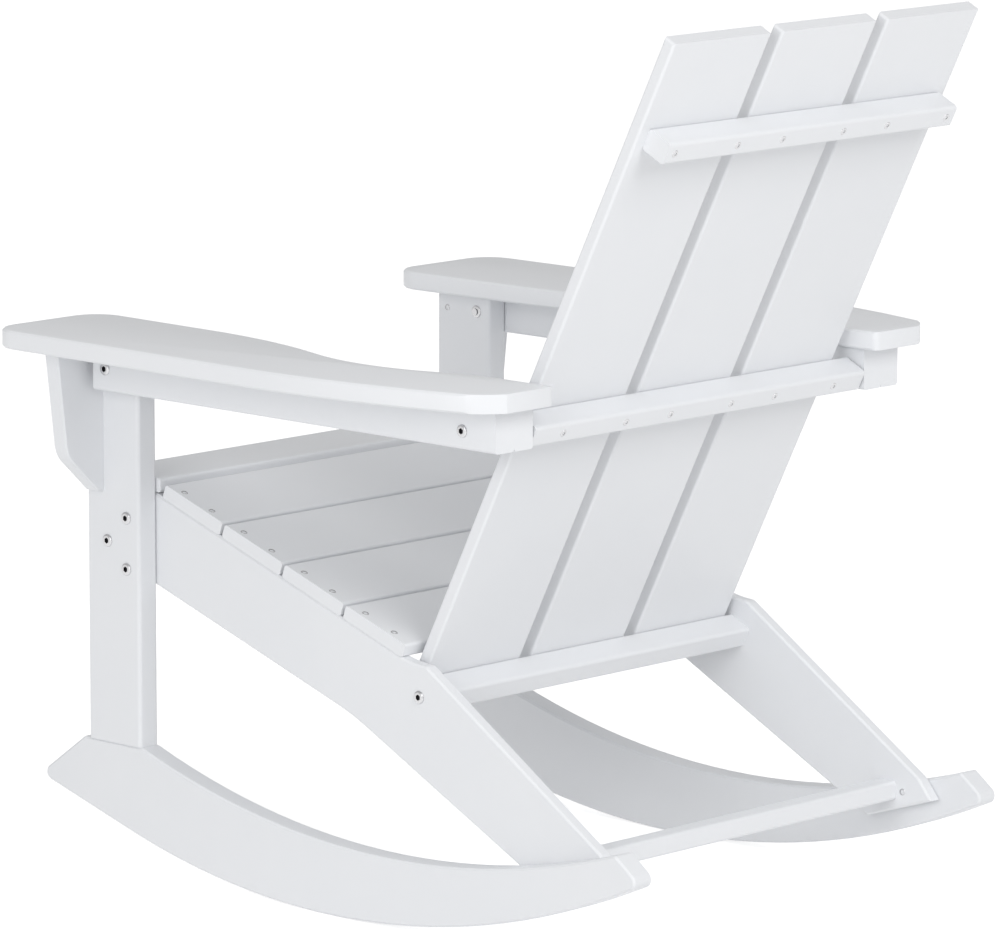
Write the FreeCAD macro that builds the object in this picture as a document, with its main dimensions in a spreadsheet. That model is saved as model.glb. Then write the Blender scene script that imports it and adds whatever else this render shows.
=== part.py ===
import FreeCAD
import Part
import Sketcher
import math
import os
import re

# Rocking garden chair with a slatted seat, a leaning slatted back and flat arms.
# Y is measured from the legs' front faces towards the back, Z from the floor, X from the middle.
# Driving dimensions, in millimetres and degrees.
SIZES = {
    # stock
    "frame_board": 27,
    "thin_board": 15,
    "arm_board": 20,
    "frame_round": 3.5,
    "leg_round": 4.5,
    "thin_round": 3,
    "edge_bevel": 2.2,
    "fit": 0.5,
    # width over the inside of the stringers
    "inside_width": 478,
    "depth_centre": 364.3,
    # front legs
    "leg_width": 80,
    "arm_height": 565,
    # rockers
    "rocker_radius": 1029.6,
    "rocker_middle": 354.1,
    "rocker_top_radius": 1053,
    "toe_angle": 16.5,
    "toe_reach": 79,
    "toe_round": 8,
    "pad_height": 135,
    "pad_front": 8,
    "pad_rear": 2,
    "heel_top_y": 767,
    "heel_top_z": 128.5,
    "heel_foot_y": 802,
    "heel_round": 9,
    "heel_top_round": 5,
    # seat
    "seat_slope": 19.1,
    "seat_edge_z": 433.6,
    "seat_level_z": 408,
    "slat_width": 91,
    "slat_gap": 4,
    "slope_start": 88.1,
    "front_overhang": 6,
    "apron_height": 88,
    # stringers
    "stringer_front_z": 328.7,
    "stringer_knee_y": 369,
    "stringer_knee_z": 210,
    "stringer_knee_round": 300,
    "stringer_foot_y": 651,
    "stringer_foot_z": 67,
    "stringer_heel_y": 740,
    "stringer_heel_z": 96,
    "stringer_end_y": 722,
    "stringer_end_z": 118,
    "stringer_step_y": 478,
    "stringer_step_z": 275.5,
    "stringer_step_round": 12,
    "stringer_rest": 441,
    "stringer_hollow": 140,
    # arms
    "arm_front": 43.5,
    "arm_outer": 380,
    "arm_flare": 3.5,
    "arm_curve_start": 335,
    "arm_tail_in": 47,
    "arm_tail": 665,
    "arm_tail_round": 12,
    "arm_tail_inner_round": 18,
    "arm_front_round": 36,
    "arm_inner_x": 226.5,
    "arm_inner_y": 140,
    "arm_hollow": 261.5,
    "arm_hollow_front": 330,
    "arm_hollow_rear": 500,
    "arm_tail_inner": 246,
    "arm_tail_inner_y": 590,
    # arm rails, rear blocks and brackets
    "rail_height": 45,
    "rail_front": 40.5,
    "rail_rear": 628,
    "block_length": 92,
    "bracket_reach": 67,
    "bracket_knee_reach": 53,
    "bracket_knee_drop": 116,
    "bracket_knee_round": 32,
    "bracket_tip_reach": 8.5,
    "bracket_tip_drop": 158,
    "bracket_drop": 160,
    # back
    "back_tilt": 26.76,
    "back_y": 452.6,
    "back_z": 288,
    "back_top": 736,
    "back_slat_width": 144,
    "back_slat_gap": 16.5,
    "back_rail_width": 24,
    "back_rail_depth": 31,
    "upper_rail_at": 614,
    "upper_rail_length": 438,
    "middle_rail_at": 282,
    "middle_rail_gap": 2,
    "lower_rail_at": -48.5,
    # stretcher at the back
    "stretcher_y": 667,
    "stretcher_z": 90,
    "stretcher_height": 20.5,
    # bolts
    "bolt_shank": 8,
    "bolt_head": 13.8,
    "bolt_head_height": 4,
    "bolt_socket": 5,
    "bolt_socket_depth": 2.4,
    "bolt_row_y": 61,
    "bolt_row_z": 353.5,
    "bolt_half_pitch": 27.5,
    "bolt_offset": 29,
    "rail_bolt_front": 59,
    "rail_bolt_front_drop": 21,
    "rail_bolt_rear": 581.7,
    "rail_bolt_rear_drop": 26,
    "lower_bolt_up": 15,
    "lower_bolt_behind": 34.6,
    "lower_bolt_depth": 45,
}

doc = FreeCAD.newDocument("rocking_adirondack_chair")
sheet = doc.addObject("Spreadsheet::Sheet", "Sizes")
for row, (alias, value) in enumerate(SIZES.items(), start=1):
    sheet.set(f"A{row}", alias)
    sheet.set(f"B{row}", str(value))
    sheet.setAlias(f"B{row}", alias)
doc.recompute()

NAME = re.compile(r"\b(" + "|".join(SIZES) + r")\b")
LINE = "line"
TANGENT_ARC = "tangent arc"
TANGENT_LINE = "tangent line"
START = 1
END = 2
CENTRE = 3
CLOSE = 0.01
AXES = {"x": 0, "y": 1, "z": 2}
bodies = []


def bound(text):
    """An expression on the sheet's cells, from one on their bare names."""
    return NAME.sub(lambda found: "Sizes." + found.group(0), text)


def number(text):
    """The value that such an expression has now."""
    return float(sheet.evalExpression(bound(text)))


def new_body(label, x, y="0 - depth_centre", z="0"):
    """An empty body at a place given by three expressions."""
    body = doc.addObject("PartDesign::Body", label)
    body.Label = label
    body.AllowCompound = True
    body.setExpression("Placement.Base.x", bound(x))
    body.setExpression("Placement.Base.y", bound(y))
    body.setExpression("Placement.Base.z", bound(z))
    bodies.append(body)
    return body


def new_sketch(body, role):
    """A sketch on one of the body's own origin planes."""
    sketch = body.newObject("Sketcher::SketchObject", body.Label + "_sketch")
    plane = next(feature for feature in body.Origin.OriginFeatures if feature.Role == role)
    sketch.AttachmentSupport = (plane, [""])
    sketch.MapMode = "FlatFace"
    return sketch


def tie(sketch, kind, expression, *where):
    """A dimension of the sketch, bound to the sheet."""
    index = sketch.addConstraint(Sketcher.Constraint(kind, *where, number(expression)))
    sketch.setExpression(f"Constraints[{index}]", bound(expression))


def turned(vector, turn):
    """The vector a quarter turn to the left for a turn of 1, to the right for -1."""
    return FreeCAD.Vector(-turn * vector.y, turn * vector.x, 0)


def arc_about(centre, start, end, turn):
    """The arc from start to end about a centre, with the ends that it leaves from and arrives at."""
    circle = Part.Circle(centre, FreeCAD.Vector(0, 0, 1), (start - centre).Length)
    angles = [math.atan2(point.y - centre.y, point.x - centre.x) for point in (start, end)]
    if turn < 0:
        angles.reverse()
    if angles[1] < angles[0]:
        angles[1] += 2 * math.pi
    ends = (START, END) if turn > 0 else (END, START)
    return Part.ArcOfCircle(circle, *angles), ends


def draw_outline(sketch, corners):
    """A closed outline. Each corner is (u, v, edge), and the edge leads on to the next corner.

    An edge is LINE, (radius, turn) for an arc that turns left or right, or a line or arc that
    leaves the last edge smoothly. A corner with no u lies where a smooth line meets its v.
    The corners' points are given back.
    """
    points = []
    for u, v, _ in corners:
        points.append(FreeCAD.Vector(number(u) if u else 0, number(v), 0))
    edges = []
    heading = None
    for index, (_, _, edge) in enumerate(corners):
        start = points[index]
        following = (index + 1) % len(corners)
        if edge == TANGENT_LINE and corners[following][0] is None:
            points[following].x = start.x + heading.x * (points[following].y - start.y) / heading.y
        end = points[following]
        chord = end - start
        if edge in (LINE, TANGENT_LINE):
            geometry, ends = Part.LineSegment(start, end), (START, END)
            heading = chord / chord.Length
        else:
            if edge == TANGENT_ARC:
                across = turned(heading, 1)
                reach = chord.dot(chord) / (2 * chord.dot(across))
                turn = 1 if reach > 0 else -1
                centre = start + across * reach
            else:
                turn = edge[1]
                half = chord.Length / 2
                rise = math.sqrt(number(edge[0]) ** 2 - half ** 2)
                centre = start + chord * 0.5 + turned(chord / chord.Length, turn) * rise
            geometry, ends = arc_about(centre, start, end, turn)
            heading = turned(end - centre, turn)
            heading = heading / heading.Length
        edges.append((sketch.addGeometry(geometry, False), ends))
    for index, (u, v, edge) in enumerate(corners):
        this, (leave, _) = edges[index]
        before, (_, arrive) = edges[index - 1]
        smooth = edge in (TANGENT_ARC, TANGENT_LINE)
        sketch.addConstraint(Sketcher.Constraint("Tangent" if smooth else "Coincident", before, arrive, this, leave))
        if u:
            tie(sketch, "DistanceX", u, -1, START, this, leave)
        tie(sketch, "DistanceY", v, -1, START, this, leave)
        if isinstance(edge, tuple):
            tie(sketch, "Radius", edge[0], this)
    return points


def draw_circle(sketch, u, v, diameter):
    """A circle about a point."""
    centre = FreeCAD.Vector(number(u), number(v), 0)
    circle = Part.Circle(centre, FreeCAD.Vector(0, 0, 1), number(diameter) / 2)
    index = sketch.addGeometry(circle, False)
    tie(sketch, "DistanceX", u, -1, START, index, CENTRE)
    tie(sketch, "DistanceY", v, -1, START, index, CENTRE)
    tie(sketch, "Diameter", diameter, index)


def pad(body, sketch, length, back=False):
    """The sketch raised by a length."""
    feature = body.newObject("PartDesign::Pad", body.Label + "_pad")
    feature.Profile = sketch
    feature.setExpression("Length", bound(length))
    feature.Reversed = back
    doc.recompute()
    return feature


def pocket(body, sketch, depth=None, back=True):
    """The sketch cut away along the way that a pad would go, right through where no depth is given."""
    feature = body.newObject("PartDesign::Pocket", body.Label + "_pocket")
    feature.Profile = sketch
    if depth:
        feature.setExpression("Length", bound(depth))
    else:
        feature.Type = "ThroughAll"
    feature.Reversed = back
    doc.recompute()
    return feature


def dress(body, kind, measure, size, wanted):
    """The edges of the body that are wanted, worked off by a fillet or a chamfer."""
    base = body.Tip
    names = []
    for index, edge in enumerate(base.Shape.Edges, start=1):
        if wanted(edge):
            names.append(f"Edge{index}")
    feature = body.newObject(f"PartDesign::{kind}", f"{body.Label}_{kind.lower()}")
    feature.Base = (base, names)
    feature.setExpression(measure, bound(size))
    doc.recompute()
    return feature


def fillet(body, radius, wanted):
    """The wanted edges, rounded."""
    return dress(body, "Fillet", "Radius", radius, wanted)


def bevel(body, size, wanted):
    """The wanted edges, bevelled."""
    return dress(body, "Chamfer", "Size", size, wanted)


def slant(edge, axis):
    """How far an edge leans from square to an axis, from 0 to 1."""
    middle = (edge.FirstParameter + edge.LastParameter) / 2
    return abs(edge.tangentAt(middle)[AXES[axis]])


def running(axis):
    """A test for straight edges along an axis."""
    return lambda edge: edge.Curve.TypeId == "Part::GeomLine" and slant(edge, axis) > 1 - CLOSE


def square_to(axis):
    """A test for edges in planes that are square to an axis."""
    return lambda edge: slant(edge, axis) < CLOSE


def standing_at(axis, points):
    """A test for straight edges along an axis, over some points of the sketch."""
    u, v = [index for index in range(3) if index != AXES[axis]]

    def wanted(edge):
        middle = edge.CenterOfMass
        return running(axis)(edge) and any(math.hypot(middle[u] - point.x, middle[v] - point.y) < CLOSE for point in points)

    return wanted


def side_board(label, outline, x, thickness, corners=()):
    """A board with its outline in the YZ plane, and some of the outline's corners rounded."""
    body = new_body(label, x)
    sketch = new_sketch(body, "YZ_Plane")
    points = draw_outline(sketch, outline)
    pad(body, sketch, thickness)
    for radius, numbers in corners:
        fillet(body, radius, standing_at("x", [points[index] for index in numbers]))
    return body


def bore(body, places, diameter):
    """Holes through a side board."""
    sketch = new_sketch(body, "YZ_Plane")
    for y, z in places:
        draw_circle(sketch, y, z, diameter)
    pocket(body, sketch)


def on_back(along, behind):
    """The y and z of a point given along the back and behind the front of its slats."""
    y = f"back_y + ({along}) * sin(back_tilt) + ({behind}) * cos(back_tilt)"
    z = f"back_z + ({along}) * cos(back_tilt) - ({behind}) * sin(back_tilt)"
    return y, z


def on_seat(along, above):
    """The y and z of a point given down the seat's slope and above the stringers."""
    y = f"slope_start + ({along}) * cos(seat_slope) + ({above}) * sin(seat_slope)"
    z = f"seat_edge_z - slope_start * tan(seat_slope) - ({along}) * sin(seat_slope) + ({above}) * cos(seat_slope)"
    return y, z


def four_sided(*points):
    """An outline of straight sides."""
    return [(y, z, LINE) for y, z in points]


# Layers across the chair, from the inside face of a stringer outwards.
INSIDE = "inside_width / 2"
STRINGER_OUT = "inside_width / 2 + thin_board"
LEG_OUT = "inside_width / 2 + thin_board + frame_board"
RAIL_OUT = "inside_width / 2 + thin_board + 2 * frame_board"
SIDES = {"left": 1, "right": -1}

# Bolt places, as y and z.
LEG_BOLTS = [
    ("bolt_row_y", "bolt_row_z + bolt_half_pitch"),
    ("bolt_row_y - bolt_offset", "bolt_row_z"),
    ("bolt_row_y", "bolt_row_z - bolt_half_pitch"),
]
RAIL_BOLT_FRONT = ("rail_bolt_front", "arm_height - rail_bolt_front_drop")
RAIL_BOLT_REAR = ("rail_bolt_rear", "arm_height - rail_bolt_rear_drop")
LOWER_BOLT = on_back("lower_rail_at + lower_bolt_up", "lower_bolt_behind")
HOLE = "bolt_shank + fit"


def layer_x(side, inner, outer):
    """The x at which a layer's board starts, on either side of the chair."""
    return inner if side > 0 else f"0 - ({outer})"


def rocker(label, side):
    """The curved runner, with a flat pad that the leg stands on and a thin raised toe."""
    toe_line_y = "rocker_middle - rocker_radius * sin(toe_angle)"
    toe_line_z = "rocker_radius * (1 - cos(toe_angle))"
    toe_z = f"{toe_line_z} + ({toe_line_y} + toe_reach) * tan(toe_angle)"
    foot_z = "rocker_radius - sqrt(rocker_radius ^ 2 - (heel_foot_y - rocker_middle) ^ 2)"
    outline = [
        ("0 - pad_front", "pad_height", LINE),
        ("0 - toe_reach", toe_z, LINE),
        (toe_line_y, toe_line_z, ("rocker_radius", 1)),
        ("heel_foot_y", foot_z, LINE),
        ("heel_top_y", "heel_top_z", ("rocker_top_radius", -1)),
        ("leg_width + pad_rear", "pad_height", LINE),
    ]
    corners = [("toe_round", [1]), ("heel_round", [3]), ("heel_top_round", [4])]
    body = side_board(label, outline, layer_x(side, STRINGER_OUT, LEG_OUT), "frame_board", corners)
    bevel(body, "edge_bevel", square_to("x"))
    return body


def front_leg(label, side):
    """The straight front leg, from the rocker's pad to the arm."""
    outline = four_sided(("0", "pad_height"), ("leg_width", "pad_height"), ("leg_width", "arm_height"), ("0", "arm_height"))
    body = side_board(label, outline, layer_x(side, STRINGER_OUT, LEG_OUT), "frame_board")
    fillet(body, "leg_round", running("z"))
    bore(body, LEG_BOLTS + [RAIL_BOLT_FRONT], HOLE)
    return body


def stringer(label, side):
    """The bent side board that carries the seat and runs down to the rocker's inside."""
    front = "thin_board"
    level_end = "(seat_edge_z - seat_level_z) / tan(seat_slope)"
    outline = [
        (front, "seat_level_z", LINE),
        (front, "stringer_front_z", LINE),
        ("stringer_knee_y", "stringer_knee_z", LINE),
        ("stringer_foot_y", "stringer_foot_z", LINE),
        ("stringer_heel_y", "stringer_heel_z", LINE),
        ("stringer_end_y", "stringer_end_z", LINE),
        ("stringer_step_y", "stringer_step_z", ("stringer_hollow", -1)),
        ("stringer_rest", "seat_edge_z - stringer_rest * tan(seat_slope)", LINE),
        (level_end, "seat_level_z", LINE),
    ]
    corners = [("stringer_knee_round", [2]), ("stringer_step_round", [6])]
    body = side_board(label, outline, layer_x(side, INSIDE, STRINGER_OUT), "thin_board", corners)
    bevel(body, "edge_bevel", square_to("x"))
    bore(body, LEG_BOLTS + [LOWER_BOLT], HOLE)
    return body


def arm_rail(label, side):
    """The rail under the arm's outer half, bolted to the leg and to the rear block."""
    low = "arm_height - rail_height"
    outline = four_sided(("rail_front", low), ("rail_rear", low), ("rail_rear", "arm_height"), ("rail_front", "arm_height"))
    body = side_board(label, outline, layer_x(side, LEG_OUT, RAIL_OUT), "frame_board")
    fillet(body, "frame_round", running("y"))
    bore(body, [RAIL_BOLT_FRONT, RAIL_BOLT_REAR], HOLE)
    return body


def rear_block(label, side):
    """The block inside the arm rail that takes the end of the middle back rail."""
    low = "arm_height - rail_height"
    front = "rail_rear - block_length"
    outline = four_sided((front, low), ("rail_rear", low), ("rail_rear", "arm_height"), (front, "arm_height"))
    body = side_board(label, outline, layer_x(side, STRINGER_OUT, LEG_OUT), "frame_board")
    fillet(body, "frame_round", running("y"))
    bore(body, [RAIL_BOLT_REAR], HOLE)
    return body


def mirrored(x, side):
    """An x on the left side, or the same distance from the middle on the right side."""
    return x if side > 0 else f"0 - ({x})"


def arm_bracket(label, side):
    """The shaped bracket under the front of the arm, on the leg's outer face."""
    body = new_body(label, "0", "frame_board - depth_centre")
    sketch = new_sketch(body, "XZ_Plane")
    corners = [
        ("0", "0"),
        ("bracket_reach", "0"),
        ("bracket_knee_reach", "bracket_knee_drop"),
        ("bracket_tip_reach", "bracket_tip_drop"),
        ("0", "bracket_drop"),
    ]
    places = [(mirrored(f"{LEG_OUT} + {reach}", side), f"arm_height - {drop}") for reach, drop in corners]
    points = draw_outline(sketch, four_sided(*places))
    pad(body, sketch, "arm_board")
    fillet(body, "bracket_knee_round", standing_at("y", [points[2]]))
    face = number(LEG_OUT)
    top = number("arm_height")

    def free(edge):
        middle = edge.CenterOfMass
        return square_to("y")(edge) and abs(middle.x) > face + CLOSE and middle.z < top - CLOSE

    bevel(body, "edge_bevel", free)
    return body


def arm(label, side):
    """The flat arm, with its inner edge drawn in beside the back and its outer edge curved in."""
    body = new_body(label, "0", "0 - depth_centre", "arm_height")
    sketch = new_sketch(body, "XY_Plane")
    outline = [
        (mirrored("arm_outer", side), "0 - arm_front", LINE),
        (mirrored("arm_outer + arm_flare", side), "arm_curve_start", TANGENT_ARC),
        (mirrored("arm_outer - arm_tail_in", side), "arm_tail", LINE),
        (mirrored("arm_tail_inner", side), "arm_tail", LINE),
        (mirrored("arm_tail_inner", side), "arm_tail_inner_y", TANGENT_ARC),
        (mirrored("arm_hollow", side), "arm_hollow_rear", TANGENT_ARC),
        (mirrored("arm_hollow", side), "arm_hollow_front", TANGENT_ARC),
        (mirrored("arm_inner_x", side), "arm_inner_y", TANGENT_LINE),
        (None, "0 - arm_front", LINE),
    ]
    points = draw_outline(sketch, outline)
    pad(body, sketch, "arm_board")
    fillet(body, "arm_front_round", standing_at("z", [points[0], points[8]]))
    fillet(body, "arm_tail_round", standing_at("z", [points[2]]))
    fillet(body, "arm_tail_inner_round", standing_at("z", [points[3]]))
    bevel(body, "edge_bevel", square_to("z"))
    return body


def cross_board(label, points, half_length, rounding):
    """A board that runs across the chair, drawn end on, with its long edges rounded."""
    body = new_body(label, f"0 - ({half_length})")
    sketch = new_sketch(body, "YZ_Plane")
    draw_outline(sketch, four_sided(*points))
    pad(body, sketch, f"2 * ({half_length})")
    fillet(body, rounding, running("x"))
    return body


SEAT_END = f"{STRINGER_OUT} - fit"


def front_apron():
    """The upright board under the front of the seat, across the stringers' front ends."""
    low = "seat_level_z - apron_height"
    points = [("0", low), ("thin_board", low), ("thin_board", "seat_level_z"), ("0", "seat_level_z")]
    return cross_board("front_apron", points, SEAT_END, "thin_round")


def front_seat_slat():
    """The level slat at the front of the seat."""
    front = "0 - front_overhang"
    rear = "slat_width - front_overhang"
    top = "seat_level_z + thin_board"
    points = [(front, "seat_level_z"), (rear, "seat_level_z"), (rear, top), (front, top)]
    return cross_board("front_seat_slat", points, SEAT_END, "thin_round")


def seat_slat(index):
    """One of the sloped slats, counted from the front."""
    start = f"{index} * (slat_width + slat_gap)"
    end = f"{start} + slat_width"
    points = [on_seat(start, "0"), on_seat(end, "0"), on_seat(end, "thin_board"), on_seat(start, "thin_board")]
    return cross_board(f"seat_slat_{index + 1}", points, SEAT_END, "thin_round")


def back_slat(label, place):
    """One of the upright slats of the back, with its top corners rounded."""
    body = new_body(label, f"{place} * (back_slat_width + back_slat_gap) - back_slat_width / 2")
    sketch = new_sketch(body, "YZ_Plane")
    foot = "lower_rail_at"
    points = [on_back(foot, "0"), on_back(foot, "thin_board"), on_back("back_top", "thin_board"), on_back("back_top", "0")]
    draw_outline(sketch, four_sided(*points))
    pad(body, sketch, "back_slat_width")
    fillet(body, "thin_round", lambda edge: not running("x")(edge))
    return body


def back_rail(label, at, half_length):
    """A rail across the rear of the back slats."""
    above = f"{at} + back_rail_width"
    behind = "thin_board + back_rail_depth"
    points = [on_back(at, "thin_board"), on_back(at, behind), on_back(above, behind), on_back(above, "thin_board")]
    return cross_board(label, points, half_length, "frame_round")


def rear_stretcher():
    """The rail between the stringers' rear ends."""
    rear = "stretcher_y + back_rail_width"
    top = "stretcher_z + stretcher_height"
    points = [("stretcher_y", "stretcher_z"), (rear, "stretcher_z"), (rear, top), ("stretcher_y", top)]
    return cross_board("rear_stretcher", points, INSIDE, "frame_round")


def bolts(label, side, face, places, through):
    """Bolts with round socket heads on a face, their shanks running inwards."""
    body = new_body(label, face if side > 0 else f"0 - ({face})")
    heads = new_sketch(body, "YZ_Plane")
    for y, z in places:
        draw_circle(heads, y, z, "bolt_head")
    pad(body, heads, "bolt_head_height", side < 0)
    shanks = new_sketch(body, "YZ_Plane")
    for y, z in places:
        draw_circle(shanks, y, z, "bolt_shank")
    pad(body, shanks, through, side > 0)
    return body


for side_name, side in SIDES.items():
    rocker(f"{side_name}_rocker", side)
    front_leg(f"{side_name}_front_leg", side)
    stringer(f"{side_name}_stringer", side)
    arm(f"{side_name}_arm", side)
    arm_rail(f"{side_name}_arm_rail", side)
    rear_block(f"{side_name}_rear_block", side)
    arm_bracket(f"{side_name}_arm_bracket", side)
    bolts(f"{side_name}_leg_bolts", side, LEG_OUT, LEG_BOLTS, "frame_board + thin_board")
    bolts(f"{side_name}_arm_rail_bolts", side, RAIL_OUT, [RAIL_BOLT_FRONT, RAIL_BOLT_REAR], "2 * frame_board")
    bolts(f"{side_name}_lower_rail_bolt", side, STRINGER_OUT, [LOWER_BOLT], "thin_board + lower_bolt_depth")
front_apron()
front_seat_slat()
for index in range(4):
    seat_slat(index)
for label, place in {"left_back_slat": 1, "middle_back_slat": 0, "right_back_slat": -1}.items():
    back_slat(label, place)
back_rail("upper_back_rail", "upper_rail_at", "upper_rail_length / 2")
back_rail("middle_back_rail", "middle_rail_at", f"{STRINGER_OUT} - middle_rail_gap")
back_rail("lower_back_rail", "lower_rail_at", INSIDE)
rear_stretcher()

doc.recompute()
for item in doc.Objects:
    if "Invalid" in item.State or "Error" in item.State:
        raise RuntimeError(f"{item.Label} failed: {item.State}")
for body in bodies:
    if body.Shape.isNull() or not body.Shape.isValid():
        raise RuntimeError(f"{body.Label} has no valid shape")

os.makedirs("parts", exist_ok=True)
for body in bodies:
    body.Shape.exportStep(f"parts/{body.Label}.step")
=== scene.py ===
import math

import bmesh
import bpy
from mathutils import Matrix, Vector


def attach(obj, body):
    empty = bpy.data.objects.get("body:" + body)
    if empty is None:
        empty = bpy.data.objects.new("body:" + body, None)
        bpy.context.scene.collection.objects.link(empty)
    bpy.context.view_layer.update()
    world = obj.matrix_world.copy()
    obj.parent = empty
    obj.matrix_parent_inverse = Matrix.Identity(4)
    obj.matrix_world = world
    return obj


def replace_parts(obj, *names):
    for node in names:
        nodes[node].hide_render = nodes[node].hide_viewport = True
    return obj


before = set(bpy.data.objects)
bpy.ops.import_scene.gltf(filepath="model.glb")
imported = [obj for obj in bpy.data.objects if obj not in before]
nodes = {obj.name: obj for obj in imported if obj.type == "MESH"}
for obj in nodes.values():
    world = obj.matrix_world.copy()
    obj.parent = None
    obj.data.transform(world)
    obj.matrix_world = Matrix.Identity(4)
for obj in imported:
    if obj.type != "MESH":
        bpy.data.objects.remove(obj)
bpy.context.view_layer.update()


# The whole chair is sawn from white plastic lumber: smooth, faintly clouded boards with a satin
# skin and edges rounded by a router. Every board is the same stock, so they share one finish.
class Signal:
    """A socket of a material, with arithmetic on it."""

    def __init__(self, tree, socket=None):
        self.tree = tree
        self.socket = socket

    def node(self, kind, settings=None, inputs=None, output=0):
        made = self.tree.nodes.new(kind)
        for name, value in (settings or {}).items():
            setattr(made, name, value)
        for name, value in (inputs or {}).items():
            if isinstance(value, Signal):
                self.tree.links.new(value.socket, made.inputs[name])
            else:
                made.inputs[name].default_value = value
        return Signal(self.tree, made.outputs[output])

    def math(self, operation, first, second):
        return self.node("ShaderNodeMath", {"operation": operation}, {0: first, 1: second})

    def __add__(self, other):
        return self.math("ADD", self, other)

    def __radd__(self, other):
        return self.math("ADD", other, self)

    def __rmul__(self, other):
        return self.math("MULTIPLY", other, self)


def new_finish(name):
    """A material with an empty tree but for its output, and a Signal to build it with."""
    material = bpy.data.materials.new(name)
    material.use_nodes = True
    material.node_tree.nodes.clear()
    return material, Signal(material.node_tree)


def give_surface(material, surface):
    """Joins a finished surface to the material's output."""
    output = material.node_tree.nodes.new("ShaderNodeOutputMaterial")
    material.node_tree.links.new(surface.socket, output.inputs["Surface"])


lumber, board = new_finish("white_lumber")
place = board.node("ShaderNodeTexCoord", output="Object")
cloud = board.node("ShaderNodeTexNoise", None, {"Vector": place, "Scale": 9.0, "Detail": 3.0})
grit = board.node("ShaderNodeTexNoise", None, {"Vector": place, "Scale": 650.0, "Detail": 2.0})
tone = board.node(
    "ShaderNodeMix",
    {"data_type": "RGBA"},
    {"Factor": cloud, "A": (0.80, 0.815, 0.84, 1.0), "B": (0.84, 0.85, 0.87, 1.0)},
    output="Result",
)
skin = board.node("ShaderNodeBump", None, {"Height": grit, "Strength": 0.12, "Distance": 0.0003})
surface = board.node(
    "ShaderNodeBsdfPrincipled",
    None,
    {"Base Color": tone, "Roughness": 0.34 + 0.12 * cloud, "Normal": skin, "IOR": 1.49},
)
give_surface(lumber, surface)
for name, node in nodes.items():
    if "bolt" not in name:
        node.data.materials.clear()
        node.data.materials.append(lumber)


# The bolts and screws are stainless steel, turned and left with a fine satin, with low domed
# heads. The shade in their sockets is painted, as a near-black finish of their own.
steel, shank = new_finish("stainless_steel")
place = shank.node("ShaderNodeTexCoord", output="Object")
grain = shank.node("ShaderNodeTexNoise", None, {"Vector": place, "Scale": 1200.0, "Detail": 2.0})
surface = shank.node(
    "ShaderNodeBsdfPrincipled",
    None,
    {"Base Color": (0.62, 0.62, 0.63, 1.0), "Metallic": 1.0, "Roughness": 0.22 + 0.12 * grain},
)
give_surface(steel, surface)
for name, node in nodes.items():
    if "bolt" in name:
        node.data.materials.clear()
        node.data.materials.append(steel)

# Painted shade: the socket walls get this near-black steel in place of the shade deep in the
# hollow.
shade, hollow = new_finish("socket_shade")
place = hollow.node("ShaderNodeTexCoord", output="Object")
socket_gloss_noise = hollow.node("ShaderNodeTexNoise", None, {"Vector": place, "Scale": 900.0, "Detail": 2.0})
surface = hollow.node(
    "ShaderNodeBsdfPrincipled",
    None,
    {"Base Color": (0.035, 0.035, 0.04, 1.0), "Metallic": 0.6, "Roughness": 0.45 + 0.2 * socket_gloss_noise},
)
give_surface(shade, surface)


def pick(first, *others):
    """Selects these objects alone, with the first one active."""
    bpy.ops.object.select_all(action="DESELECT")
    for piece in (first, *others):
        piece.select_set(True)
    bpy.context.view_layer.objects.active = first


def apply_modifier(piece, modifier):
    pick(piece)
    bpy.ops.object.modifier_apply(modifier=modifier.name)


def round_bar(sides, radius, depth, middle, finish):
    """An upright cylinder or prism of one finish, with its middle at this height."""
    bpy.ops.object.select_all(action="DESELECT")
    bpy.ops.mesh.primitive_cylinder_add(
        vertices=sides, radius=radius, depth=depth, location=(0, 0, middle)
    )
    bar = bpy.context.object
    bar.data.materials.append(finish)
    return bar


def fixing(place, facing, head, socket, shank):
    """One bolt or screw. Head and socket are (radius, height), shank is (radius, length)."""
    made = round_bar(48, head[0], head[1], head[1] / 2, steel)
    rim = made.modifiers.new("rim", "BEVEL")
    rim.width = 0.45 * head[1]
    rim.segments = 4
    rim.limit_method = "ANGLE"
    apply_modifier(made, rim)
    # The cutter carries the near-black painted shade, which passes to the socket walls.
    cutter = round_bar(6, socket[0], 2 * socket[1], head[1], shade)
    cut = made.modifiers.new("socket", "BOOLEAN")
    cut.operation = "DIFFERENCE"
    cut.object = cutter
    cut.material_mode = "TRANSFER"
    apply_modifier(made, cut)
    bpy.data.objects.remove(cutter)
    stem = round_bar(32, shank[0], shank[1], -shank[1] / 2, steel)
    pick(made, stem)
    bpy.ops.object.join()
    made.location = place
    made.rotation_euler = Vector(facing).to_track_quat("Z", "Y").to_euler()
    bpy.ops.object.transform_apply(location=True, rotation=True, scale=True)
    return made


def joined(name, parts):
    """The parts as one piece that rides with the chair."""
    pick(*parts)
    bpy.ops.object.join()
    piece = bpy.context.object
    piece.name = name
    bpy.ops.object.shade_smooth_by_angle(angle=math.radians(30))
    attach(piece, "root")
    return piece


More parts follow.
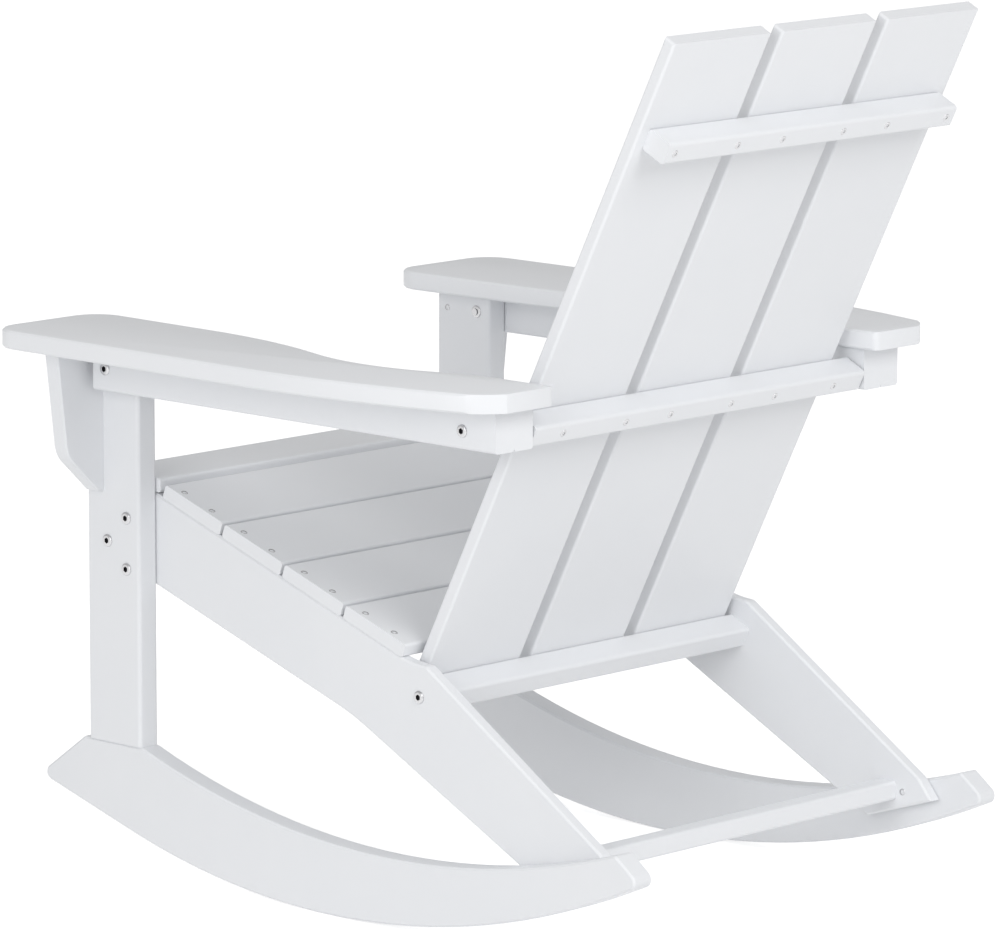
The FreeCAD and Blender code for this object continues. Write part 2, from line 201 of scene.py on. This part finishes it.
# The bolts: three through each leg into the stringer, two through each arm rail and one through
# each stringer into the lower back rail. They stand where the solids have them.
leg_front = -0.3643
bolt_head = (0.0069, 0.004)
bolt_socket = (0.0033, 0.0026)
bolt_radius = 0.004
bolt_rows = {
    "leg_bolts": (0.281, 0.042, [(0.061, 0.381), (0.032, 0.3535), (0.061, 0.326)]),
    "arm_rail_bolts": (0.308, 0.054, [(0.059, 0.544), (0.5817, 0.539)]),
    "lower_rail_bolt": (0.254, 0.060, [(0.46838, 0.24234)]),
}
for side_name, side in (("left", 1), ("right", -1)):
    for row, (face, length, spots) in bolt_rows.items():
        made = []
        for y, z in spots:
            spot = (side * face, leg_front + y, z)
            made.append(fixing(spot, (side, 0, 0), bolt_head, bolt_socket, (bolt_radius, length)))
        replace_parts(joined(f"{side_name}_{row}_turned", made), f"{side_name}_{row}")


# Small screws hold the back slats to the upper and middle rails. Their heads lie nearly flush in
# the rails' rear faces, two behind each slat.
tilt = math.radians(26.76)
back_foot = Vector((0, leg_front + 0.4526, 0.288))
up_back = Vector((0, math.sin(tilt), math.cos(tilt)))
behind_back = Vector((0, math.cos(tilt), -math.sin(tilt)))
slat_pitch = 0.1605
screw_offset = 0.0465
rail_face = 0.0458
rail_screw = ((0.0042, 0.0012), (0.0019, 0.0009), (0.002, 0.04))
for rail, along in (("upper", 0.626), ("middle", 0.294)):
    made = []
    for slat in (-slat_pitch, 0, slat_pitch):
        for offset in (-screw_offset, screw_offset):
            spot = back_foot + up_back * along + behind_back * rail_face
            spot += Vector((slat + offset, 0, 0))
            made.append(fixing(spot, behind_back, *rail_screw))
    joined(f"{rail}_rail_screws", made)


# Two small screws hold each end of each sloped seat slat to the stringer under it. Their heads lie
# nearly flush in the slats' tops.
slope = math.radians(19.1)
first_slat = 0.0881
seat_height = 0.4336
seat_edge = Vector((0, leg_front + first_slat, seat_height - first_slat * math.tan(slope)))
down_seat = Vector((0, math.cos(slope), -math.sin(slope)))
above_seat = Vector((0, math.sin(slope), math.cos(slope)))
seat_pitch = 0.095
seat_top = 0.0148
seat_screw_x = 0.245
small_head = (0.0038, 0.0012)
small_socket = (0.0029, 0.0009)
small_shank = (0.002, 0.02)
made = []
for slat in range(4):
    for along in (0.021, 0.065):
        for side in (1, -1):
            spot = seat_edge + down_seat * (seat_pitch * slat + along) + above_seat * seat_top
            spot += Vector((side * seat_screw_x, 0, 0))
            made.append(fixing(spot, above_seat, small_head, small_socket, small_shank))
joined("seat_screws", made)


# On each front leg's inner face sit the sleeve nut of the arm rail's front bolt and a small screw
# beside it. Another small screw goes through each stringer's inner face by the rear stretcher.
leg_inside = 0.2541
stringer_inside = 0.2391
inner_rows = (
    (leg_inside, 0.0606, 0.5445, (0.007, 0.002), (0.0033, 0.0016), (0.0035, 0.001)),
    (leg_inside, 0.0158, 0.5446, small_head, small_socket, small_shank),
    (stringer_inside, 0.7, 0.1, small_head, small_socket, (0.002, 0.012)),
)
made = []
for side in (1, -1):
    for face, y, z, head, socket, stem in inner_rows:
        spot = (side * face, leg_front + y, z)
        made.append(fixing(spot, (-side, 0, 0), head, socket, stem))
joined("inner_fixings", made)


# The arms are one board each, held by hidden screws from the rail and the leg. Their tails are cut
# a little shorter than the solids and curve in to a tight rear corner, and their edges are rounded.
tail_end = leg_front + 0.651
outer_curve = (0.2805, leg_front + 0.584, 0.075)
inner_corner = (0.2545, leg_front + 0.643, 0.008)
weld = 0.000005


def tangent_cut(side, curve, degrees):
    """A plane that touches an upright curve (x, y, radius) at an angle, as a place and a normal."""
    angle = math.radians(degrees)
    normal = Vector((side * math.cos(angle), math.sin(angle), 0))
    return Vector((side * curve[0], curve[1], 0)) + normal * curve[2], normal


for side_name, side in (("left", 1), ("right", -1)):
    solid = nodes[f"{side_name}_arm"]
    arm = bpy.data.objects.new(f"{side_name}_arm_board", solid.data.copy())
    bpy.context.scene.collection.objects.link(arm)
    pick(arm)
    cuts = [tangent_cut(side, outer_curve, degrees) for degrees in range(16, 57, 8)]
    cuts.append((Vector((0, tail_end, 0)), Vector((0, 1, 0))))
    cuts.extend(tangent_cut(side, inner_corner, degrees) for degrees in (112, 135, 158))
    bpy.ops.object.mode_set(mode="EDIT")
    bpy.ops.mesh.select_all(action="SELECT")
    bpy.ops.mesh.remove_doubles(threshold=weld)
    for spot, normal in cuts:
        bpy.ops.mesh.select_all(action="SELECT")
        bpy.ops.mesh.bisect(plane_co=spot, plane_no=normal, use_fill=True, clear_outer=True)
    bpy.ops.mesh.select_all(action="SELECT")
    bpy.ops.mesh.dissolve_limited(angle_limit=math.radians(1.5))
    bpy.ops.object.mode_set(mode="OBJECT")
    for name, limit, width, segments in (("edge", 60, 0.0024, 1), ("round", 25, 0.0011, 2)):
        rim = arm.modifiers.new(name, "BEVEL")
        rim.limit_method = "ANGLE"
        rim.angle_limit = math.radians(limit)
        rim.width = width
        rim.segments = segments
        apply_modifier(arm, rim)
    bpy.ops.object.shade_smooth_by_angle(angle=math.radians(30))
    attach(arm, "root")
    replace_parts(arm, f"{side_name}_arm")


# The studio is a plain white floor and a white surround, lit by broad soft lamps. The floor
# shows white to the camera and keeps the chair's own soft shadow.
floor_size = 30.0
floor_gap = 0.0005
bpy.ops.object.select_all(action="DESELECT")
bpy.ops.mesh.primitive_plane_add(size=floor_size, location=(0, 0, -floor_gap))
floor = bpy.context.object
floor.name = "floor"
paper, sweep = new_finish("floor_paper")
matt = sweep.node("ShaderNodeBsdfDiffuse", None, {"Color": (0.75, 0.75, 0.75, 1.0)})
rays = sweep.node("ShaderNodeLightPath", output="Is Camera Ray")
mirror_rays = sweep.node("ShaderNodeLightPath", output="Is Glossy Ray")
strength = 0.15 + 0.5 * (rays + mirror_rays)
glow = sweep.node("ShaderNodeEmission", None, {"Color": (1, 1, 1, 1), "Strength": strength})
give_surface(paper, sweep.node("ShaderNodeAddShader", None, {0: matt, 1: glow}))
floor.data.materials.append(paper)

world = bpy.data.worlds.new("studio")
bpy.context.scene.world = world
world.use_nodes = True
world.node_tree.nodes.clear()
sky = Signal(world.node_tree)
seen = sky.node("ShaderNodeLightPath", output="Is Camera Ray")
fill = 0.57
strength = fill + (1.0 - fill) * seen
backdrop = sky.node("ShaderNodeBackground", None, {"Color": (1, 1, 1, 1), "Strength": strength})
output = world.node_tree.nodes.new("ShaderNodeOutputWorld")
world.node_tree.links.new(backdrop.socket, output.inputs["Surface"])


def soft_lamp(name, place, aim, width, watts):
    """A square lamp that points at a place."""
    light = bpy.data.lights.new(name, "AREA")
    light.shape = "SQUARE"
    light.size = width
    light.energy = watts
    lamp = bpy.data.objects.new(name, light)
    bpy.context.scene.collection.objects.link(lamp)
    lamp.location = place
    lamp.rotation_euler = (Vector(aim) - Vector(place)).to_track_quat("-Z", "Y").to_euler()


soft_lamp("side_softbox", (4.5, 1.2, 1.8), (0, 0, 0.45), 2.5, 58)
soft_lamp("back_softbox", (0.8, 4.3, 3.2), (0, 0, 0.4), 2.5, 84)


# The camera stands well back with a long lens, behind the chair's left side and a little above
# its top. It is aimed by its azimuth, elevation and roll.
camera_place = Vector((5.1967, 4.9409, 1.6831))
azimuth = math.radians(133.696)
elevation = math.radians(9.840)
roll = math.radians(0.080)
forward = Vector((
    -math.sin(azimuth) * math.cos(elevation),
    math.cos(azimuth) * math.cos(elevation),
    -math.sin(elevation),
))
right = forward.cross(Vector((0, 0, 1))).normalized()
up = right.cross(forward)
level_right = right * math.cos(roll) + up * math.sin(roll)
level_up = up * math.cos(roll) - right * math.sin(roll)
lens = bpy.data.cameras.new("camera")
lens.lens = 247.93
lens.sensor_width = 36.0
lens.sensor_fit = "HORIZONTAL"
lens.clip_end = 100.0
camera = bpy.data.objects.new("camera", lens)
bpy.context.scene.collection.objects.link(camera)
turn = Matrix((level_right, level_up, -forward)).transposed().to_4x4()
camera.matrix_world = Matrix.Translation(camera_place) @ turn
bpy.context.scene.camera = camera
bpy.context.scene.view_settings.view_transform = "Standard"
